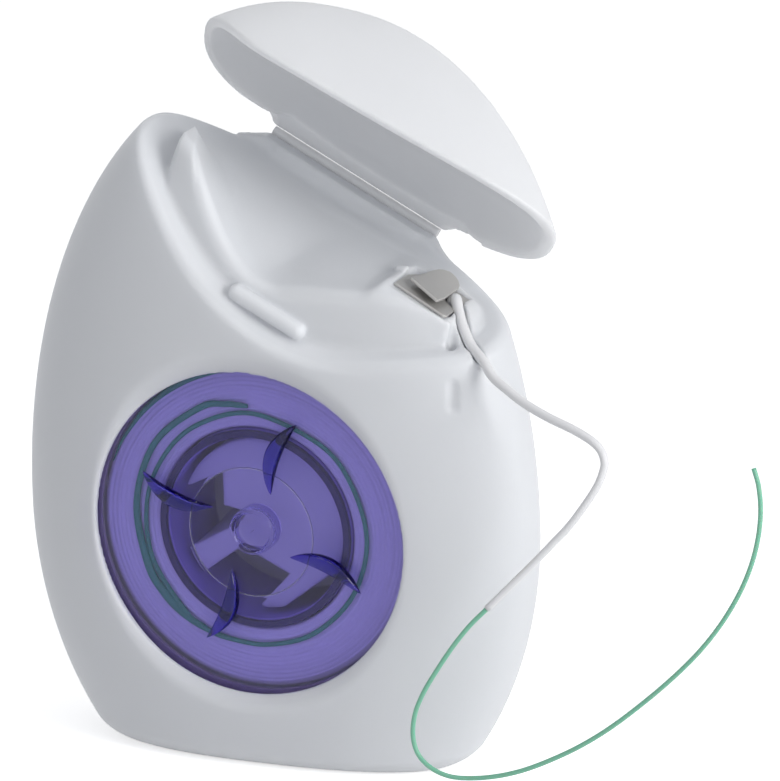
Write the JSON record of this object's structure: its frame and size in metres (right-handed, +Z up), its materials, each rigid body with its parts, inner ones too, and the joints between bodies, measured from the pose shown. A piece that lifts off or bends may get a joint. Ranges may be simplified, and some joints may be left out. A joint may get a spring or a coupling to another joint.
{
  "type": "dental floss dispenser",
  "caption": "White egg-shaped dental floss dispenser, its lid hinged open over a steel cutter, with a clear purple floss spool in a round window and floss ending in a green threader.",
  "frame": {"origin": "centre of the flat base the case stands on", "axes": "+X to the viewer's right when the window faces the viewer, +Y away from the window towards the back cover, +Z up"},
  "size_m": [0.0796, 0.0296, 0.0725],
  "materials": {
    "white_plastic": "satin",
    "cutter_steel": "brushed",
    "purple_clear": "glossy",
    "white_floss": "satin",
    "green_threader": "satin"
  },
  "bodies": {
    "case": {"front_shell": "white_plastic", "rear_cover": "white_plastic", "hinge_strap": "white_plastic", "cutter_plate": "cutter_steel", "floss_lead": "white_floss", "floss_strand": "white_floss", "threader_strand": "green_threader"},
    "lid": {"flip_lid": "white_plastic"},
    "spool": {"spool_bobbin": "purple_clear", "spool_back_flange": "purple_clear", "floss_core": "white_floss", "floss_outer_turns": "white_floss", "threader_turns": "green_threader"}
  },
  "joints": [
    {"name": "lid_hinge", "type": "hinge", "parent": "case", "child": "lid", "pos_m": [0.005, 0.00825, 0.0549], "axis": [-0.8829, 0, 0.4695], "range_deg": [-65.5, 35]},
    {"name": "spool_spin", "type": "hinge", "parent": "case", "child": "spool", "pos_m": [-0.0003, 0, 0.0238], "axis": [0, 1, 0], "continuous": true}
  ]
}
